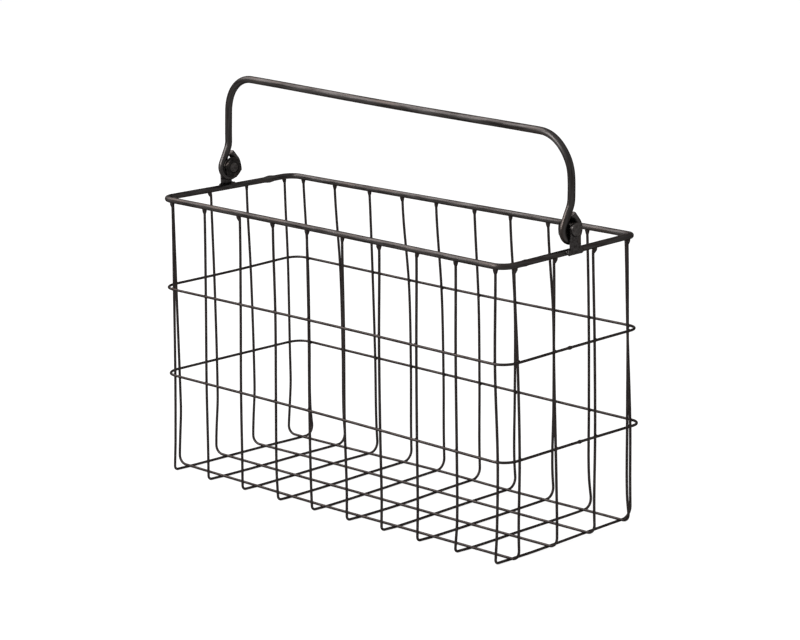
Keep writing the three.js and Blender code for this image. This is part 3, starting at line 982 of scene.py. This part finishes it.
class BASKET_OT_lugs(Operator):
    """Make the two straps that are welded to the rim and hold the bolts"""
    bl_idname = "basket.lugs"
    bl_label = "Lugs"

    def execute(self, context):
        sizes = settings(context, "fittings")
        half = sizes.lug_width / 2
        hole = sizes.bolt_diameter / 2 + sizes.hole_play
        inner = RIM_HIGH.x + STRAP_OFF_RIM
        outer = BOLT_HIGH.x - STRAP_OFF_BOLT_END
        middle = (inner + outer) / 2
        for side, turn in ENDS:
            bolt_height = PIVOT.z + BOLT_PLAY[side].z
            rim_drop = bolt_height - RIM_AXIS
            bm = bmesh.new()
            self.strap(bm, half, hole, bolt_height - LUG_LOW.z - FOOT_ROOM, inner, outer)
            for k, edge in enumerate((-1, 1)):
                for inwards, past, above, size, seed in FOOT_LUMPS:
                    place = (middle - inwards * MM, edge * (half + past * MM), -rim_drop + above * MM)
                    lump(bm, place, [s * MM for s in size], k + turn + seed)
            fitting(context, bm, side, turn, "lug", "strap", "rim_strap", "rim_rod")
        return {"FINISHED"}

    def strap(self, bm, half, hole, foot, inner, outer):
        """A flat strap with a round top and a round hole, with softened edges."""
        corner = math.atan2(-foot, half) % math.tau
        angles = [math.tau * k / STRAP_STEPS for k in range(STRAP_STEPS)]
        for target in (corner, (math.pi - corner) % math.tau):
            nearest = min(range(STRAP_STEPS), key=lambda k: abs(angles[k] - target))
            angles[nearest] = target
        loops = []
        for x in (inner, outer):
            edge, bore = [], []
            for angle in angles:
                c, s = math.cos(angle), math.sin(angle)
                reach = half
                if s < 0:
                    reach = min(half / max(abs(c), 1e-9), foot / abs(s))
                edge.append(bm.verts.new((x, reach * c, reach * s)))
                bore.append(bm.verts.new((x, hole * c, hole * s)))
            loops.append((edge, bore))
        (edge_a, bore_a), (edge_b, bore_b) = loops
        for a, b in ((edge_a, bore_a), (edge_b, bore_b), (edge_a, edge_b), (bore_a, bore_b)):
            bridge(bm, a, b)
        bmesh.ops.recalc_face_normals(bm, faces=bm.faces)
        limit = math.radians(STRAP_SHARP_DEGREES)
        sharp = [e for e in bm.edges if e.calc_face_angle(0) > limit]
        bmesh.ops.bevel(bm, geom=sharp, offset=STRAP_SOFT_EDGE, segments=2, profile=0.6,
                        affect="EDGES")


class BASKET_OT_bolts(Operator):
    """Make the two bolts, with round heads outside and threaded ends inside"""
    bl_idname = "basket.bolts"
    bl_label = "Bolts"

    def execute(self, context):
        sizes = settings(context, "fittings")
        radius, head = sizes.bolt_diameter / 2, sizes.head_diameter / 2
        start, end = BOLT_LOW.x, BOLT_HIGH.x
        seat = end - HEAD_THICKNESS
        thread_end = seat - PLAIN_SHANK
        soft = HEAD_FILLET

        def threaded(x):
            fade = min(1.0, (thread_end - x) / MM)

            def at(angle):
                share = (x / sizes.thread_pitch + angle / math.tau) % 1
                return radius - THREAD_DEPTH * fade * abs(2 * share - 1)
            return at

        profile = [(start, radius - inset) for inset in TIP_INSETS]
        count = int((thread_end - start) / (sizes.thread_pitch / THREAD_ROWS_A_TURN))
        thread_start = start + TIP_LENGTH
        run = thread_end - start - TIP_LENGTH
        rows = [thread_start + k * run / count for k in range(count + 1)]
        profile += [(x, threaded(x)) for x in rows]
        profile += [(seat - soft, radius), (seat, radius + soft)]
        profile += [(seat, head - HEAD_EDGE), (seat + HEAD_EDGE_START, head)]
        for k in range(SHOULDER_STEPS + 1):
            angle = math.radians(SHOULDER_STEP_DEGREES * k)
            profile.append((seat + HEAD_EDGE + HEAD_SHOULDER * math.sin(angle),
                            head - HEAD_SHOULDER * (1 - math.cos(angle))))
        profile += [(end - HEAD_CROWN, head * CROWN_SHARES[0]), (end, head * CROWN_SHARES[1])]
        for side, turn in ENDS:
            bm = bmesh.new()
            turned(bm, profile, BOLT_SIDES, closed_ends=True)
            fitting(context, bm, side, turn, "bolt", "turned", "bolts", "fasteners")
        return {"FINISHED"}


class BASKET_OT_washers(Operator):
    """Make the washers between the handle's eyes and the nuts"""
    bl_idname = "basket.washers"
    bl_label = "Washers"

    def execute(self, context):
        sizes = settings(context, "fittings")
        bore, out = sizes.bolt_diameter / 2 + sizes.hole_play, sizes.washer_diameter / 2
        a, b, soft = WASHER_LOW.x, WASHER_HIGH.x, WASHER_SOFT_EDGE
        profile = [
            (a + soft, bore), (a, bore + soft), (a, out - soft),
            (a + 0.3 * soft, out - 0.3 * soft), (a + soft, out), (b - 2 * soft, out),
            (b - 0.6 * soft, out - 0.6 * soft), (b, out - 2 * soft), (b, bore + soft),
            (b - soft, bore)]
        for side, turn in ENDS:
            bm = bmesh.new()
            turned(bm, profile, WASHER_SIDES)
            fitting(context, bm, side, turn, "washer", "ring", "fasteners", "fasteners")
        return {"FINISHED"}


class BASKET_OT_nuts(Operator):
    """Make the hexagon nuts on the inner side"""
    bl_idname = "basket.nuts"
    bl_label = "Nuts"

    def execute(self, context):
        sizes = settings(context, "fittings")
        flat = sizes.nut_width / 2
        bore = sizes.bolt_diameter / 2 + NUT_BORE_ROOM
        b, soft, edge = NUT_HIGH.x, NUT_FACE_EDGE, NUT_SOFT_EDGE
        slope = math.tan(math.radians(NUT_CHAMFER_DEGREES))

        def hexagon(angle):
            off = (angle + math.pi / 6) % (math.pi / 3) - math.pi / 6
            return flat / math.cos(math.pi / 6 - abs(off))

        for side, turn in ENDS:
            a = b - NUT_THICKNESS[side]
            bm = bmesh.new()
            turned(bm, [(a + soft, bore), (a, bore + soft), (a, flat - soft),
                        (a + edge, hexagon), (b - edge, hexagon), (b, flat - soft),
                        (b, bore + soft), (b - soft, bore)], NUT_SIDES)
            for vert in bm.verts:
                r = math.hypot(vert.co.y, vert.co.z)
                if r > flat - NUT_CHAMFER_REACH:
                    over = max(0.0, r - flat) * slope * NUT_CHAMFER_SHARE
                    vert.co.x += over if vert.co.x < (a + b) / 2 else -over
            fitting(context, bm, side, turn, "nut", "hexagon", "fasteners", "fasteners",
                    spin=math.radians(NUT_TURN_DEGREES[side]), smooth_angle=25)
        return {"FINISHED"}


# Handle

TAIL_GAP = 0.3 * MM
BAR_SLOPE = 4.9 * MM
RIGHT_CORNER_WIDER = 0.5 * MM
HANDLE_STEP, HANDLE_CORNER_STEPS = 2.5 * MM, 20
HANDLE_DENT_SPACING = 11 * MM
EYE_STEPS, NECK_STEPS = 40, 8
LEG_TOP = 50 * MM

# How far the bar sags at its middle; the length of that sag, and the place from which the legs
# lean in full, as shares of half the handle's length
BAR_SAG, SAG_LENGTH_SHARE, FULL_LEAN_SHARE = 0.6 * MM, 1.6, 0.7

# Extra rings towards each rounded end, as shares of the way to the next point, and the
# thickness of the first two rings
END_PLACE_SHARES = (0.1, 0.24)
END_GIRTH_SHARES = (0.8, 0.93)

# Lean of each leg to the right in millimetres, by the height above its bolt
LEFT_LEG_LEAN = ((20, -0.1), (32, 0.4), (48, 1.4), (60, 1.4))
RIGHT_LEG_LEAN = ((12, 0), (22, 0.9), (34, 1.2), (42, 0.8), (60, -0.3))


class BASKET_OT_handle(Operator):
    """Make the handle rod, with an eye bent at each end"""
    bl_idname = "basket.handle"
    bl_label = "Handle"

    def execute(self, context):
        rods = settings(context, "rods")
        radius = rods.handle_diameter / 2
        plane = HANDLE_HIGH.x - radius
        top = HANDLE_HIGH.z - radius
        left_top = Vector((-plane, PIVOT.y, top))
        right_top = Vector((plane, PIVOT.y, top - BAR_SLOPE))
        left_low, right_low = left_top.copy(), right_top.copy()
        left_low.z = right_low.z = PIVOT.z
        points = self.eye(rods, -plane)
        points += rounded(
            left_low, left_top, right_top, rods.handle_corner, HANDLE_CORNER_STEPS)
        points += rounded(left_top, right_top, right_low,
                          rods.handle_corner + RIGHT_CORNER_WIDER, HANDLE_CORNER_STEPS)
        points += self.eye(rods, plane)[::-1]
        points = divided(points, HANDLE_STEP)
        for p in points:
            stations = LEFT_LEG_LEAN if p.x < 0 else RIGHT_LEG_LEAN
            lean = eased(stations, (p.z - PIVOT.z) / MM) * MM
            p.z -= BAR_SAG * bump(p.x, SAG_LENGTH_SHARE * plane)
            p.x += lean * min(1.0, abs(p.x) / (FULL_LEAN_SHARE * plane)) ** 2
        first, last = points[0], points[-1]
        for k, share in enumerate(END_PLACE_SHARES):
            points.insert(1 + k, first.lerp(points[1 + k], share))
            points.insert(len(points) - 1 - k, last.lerp(points[-2 - k], share))
        girths = [1.0] * len(points)
        for k, share in enumerate(END_GIRTH_SHARES):
            girths[k] = girths[-1 - k] = share
        piece = rod("handle_rod", points, girths, False, rods.handle_diameter, rods.sides,
                    rods.unevenness, HANDLE_DENT_SPACING, seed=2,
                    material=finish_of(context, "handle_rod"))
        settle(piece, "handle", "handle_rod", "handle")
        return {"FINISHED"}

    def eye(self, rods, x):
        """The tail, the eye round the bolt and the neck up to the leg."""
        radius, eye = rods.handle_diameter / 2, rods.eye_radius
        neck_reach = math.acos(eye / rods.neck_rise)
        tail_reach = math.acos(eye / rods.tail_rise)
        opening = math.pi - neck_reach - tail_reach
        room = (radius + TAIL_GAP + radius * math.cos(opening)) / math.sin(opening)
        past_leg = (rods.neck_rise - rods.tail_rise) * math.cos(neck_reach) / math.sin(opening)
        centre = Vector((x, PIVOT.y, PIVOT.z))

        def above(height):
            return centre + Vector((0, 0, height))

        def on_eye(from_top):
            return centre + Vector((0, eye * math.sin(from_top), eye * math.cos(from_top)))

        start = on_eye(tail_reach)
        down = (start - above(rods.tail_rise)).normalized()
        tail = above(rods.tail_rise) + down * (room - past_leg)
        sweep = math.tau - neck_reach - tail_reach
        loop = arc(start, down, (centre - start).normalized(), eye, sweep, EYE_STEPS)
        neck = rounded(
            on_eye(-neck_reach), above(rods.neck_rise), above(LEG_TOP), rods.neck_bend, NECK_STEPS)
        return [tail] + loop + neck


# Stage

FOCAL_LENGTH = 143.1
SENSOR_WIDTH = 36
CAMERA_PLACE = (1647.89 * MM, -1548.9 * MM, 687.27 * MM)
CAMERA_YAW, CAMERA_PITCH, CAMERA_ROLL = 0.8138654, 0.2400637, -0.0251345

FLOOR_HALF_SIZE = 6
SHADOWED_TONE, FLOOR_WHITENESS = 0.12, 0.94

# Every lamp: place, aim and size in metres, and the panel's value for its power
LAMPS = {
    "Softbox": ((-1.4, -0.35, 1.5), (0, 0, 0.15), (1.9, 1.5), "softbox_power"),
    "Front strip": ((-0.6, -1.65, 1.1), (0, 0, 0.22), (0.35, 1), "strip_power"),
}


def lamp(name, place, aim, size, power):
    """A soft rectangular lamp that the camera doesn't see."""
    light = bpy.data.lights.new(name, "AREA")
    light.shape = "RECTANGLE"
    light.size, light.size_y = size
    light.energy = power
    holder = bpy.data.objects.new(name, light)
    bpy.context.scene.collection.objects.link(holder)
    holder.location = place
    holder.rotation_euler = (Vector(aim) - Vector(place)).to_track_quat("-Z", "Y").to_euler()
    holder.visible_camera = False


def lit_or_seen(make, lighting, seen):
    """Seen where the camera, a reflection or a clear material looks, and lighting elsewhere."""
    rays = make.node("ShaderNodeLightPath").outputs
    looks = make.math("MAXIMUM", rays["Is Camera Ray"], rays["Is Glossy Ray"])
    looks = make.math("MAXIMUM", looks, rays["Is Transmission Ray"])
    return make.add("ShaderNodeMixShader", {0: looks, 1: lighting, 2: seen})


def emptied(block):
    """The maker of a material's or world's own tree, with its first nodes taken out."""
    block.use_nodes = True
    block.node_tree.nodes.clear()
    return TreeMaker(block.node_tree)


class BASKET_OT_stage(Operator):
    """Make the floor, the lamps, the sky and the camera"""
    bl_idname = "basket.stage"
    bl_label = "Stage"

    def execute(self, context):
        values = settings(context, "stage")
        self.floor(values)
        self.sky(context, values)
        for name, (place, aim, size, power) in LAMPS.items():
            lamp(name, place, aim, size, getattr(values, power))
        self.camera(context)
        context.scene.view_settings.view_transform = "Standard"
        return {"FINISHED"}

    def floor(self, values):
        """A pale floor that looks white, keeps the shadow and lights the object less."""
        material = bpy.data.materials.new("Pale floor")
        make = emptied(material)
        lighting = make.add("ShaderNodeBsdfDiffuse", {"Color": (*values.floor_colour, 1)})
        shadowed = make.add("ShaderNodeBsdfDiffuse", {"Color": (*(SHADOWED_TONE,) * 3, 1)})
        white = make.add("ShaderNodeEmission", {"Strength": FLOOR_WHITENESS})
        both = make.add("ShaderNodeAddShader", {0: shadowed, 1: white})
        surface = lit_or_seen(make, lighting, both)
        make.node("ShaderNodeOutputMaterial", {"Surface": surface})
        bm = bmesh.new()
        bmesh.ops.create_grid(bm, x_segments=1, y_segments=1, size=FLOOR_HALF_SIZE)
        new_piece("studio_floor", bm, material)

    def sky(self, context, values):
        """White where it is seen, and a weaker even light elsewhere."""
        world = bpy.data.worlds.new("Studio sky")
        context.scene.world = world
        make = emptied(world)
        lighting, white = (
            make.add("ShaderNodeBackground", {"Color": (1, 1, 1, 1), "Strength": strength})
            for strength in (values.sky_light, 1))
        surface = lit_or_seen(make, lighting, white)
        make.node("ShaderNodeOutputWorld", {"Surface": surface})

    def camera(self, context):
        """The photo's view, with the camera turned by its yaw, its pitch and its roll."""
        yaw, pitch, roll = CAMERA_YAW, CAMERA_PITCH, CAMERA_ROLL
        ahead = Vector((-math.sin(yaw) * math.cos(pitch), math.cos(yaw) * math.cos(pitch),
                        -math.sin(pitch)))
        level = ahead.cross(Vector((0, 0, 1))).normalized()
        upright = level.cross(ahead)
        right = level * math.cos(roll) + upright * math.sin(roll)
        up = upright * math.cos(roll) - level * math.sin(roll)
        data = bpy.data.cameras.new("Photo view")
        data.sensor_width, data.sensor_fit = SENSOR_WIDTH, "HORIZONTAL"
        data.lens = FOCAL_LENGTH
        holder = bpy.data.objects.new("Photo view", data)
        context.scene.collection.objects.link(holder)
        turn = Matrix((right, up, -ahead)).transposed().to_4x4()
        holder.matrix_world = Matrix.Translation(CAMERA_PLACE) @ turn
        context.scene.camera = holder


# Add-on

OPERATORS = (
    BASKET_OT_rim, BASKET_OT_belts, BASKET_OT_cross_wires, BASKET_OT_long_wires,
    BASKET_OT_weld_beads, BASKET_OT_lugs, BASKET_OT_bolts, BASKET_OT_washers,
    BASKET_OT_nuts, BASKET_OT_handle, BASKET_OT_stage,
)
GROUPS = (
    ("wires", WireSizes), ("rods", RodSizes), ("fittings", FittingSizes),
    ("finish", FinishColours), ("stage", StageSettings),
)


class BASKET_PT_panel(Panel):
    """Sizes, colours and makers of the magazine basket"""
    bl_idname = "BASKET_PT_panel"
    bl_label = "Magazine Basket"
    bl_space_type = "VIEW_3D"
    bl_region_type = "UI"
    bl_category = "Basket"

    def draw(self, context):
        for title, group in GROUPS:
            box = self.layout.box()
            box.label(text=title.capitalize())
            for name in group.__annotations__:
                box.prop(settings(context, title), name)
        for operator in OPERATORS:
            self.layout.operator(operator.bl_idname)


def register():
    for title, group in GROUPS:
        bpy.utils.register_class(group)
        setattr(bpy.types.Scene, "basket_" + title, PointerProperty(type=group))
    for item in (*OPERATORS, BASKET_PT_panel):
        bpy.utils.register_class(item)


def unregister():
    for item in (BASKET_PT_panel, *reversed(OPERATORS)):
        bpy.utils.unregister_class(item)
    for title, group in reversed(GROUPS):
        delattr(bpy.types.Scene, "basket_" + title)
        bpy.utils.unregister_class(group)


def main():
    register()
    for operator in OPERATORS:
        group, name = operator.bl_idname.split(".")
        getattr(getattr(bpy.ops, group), name)()


if __name__ == "__main__":
    main()
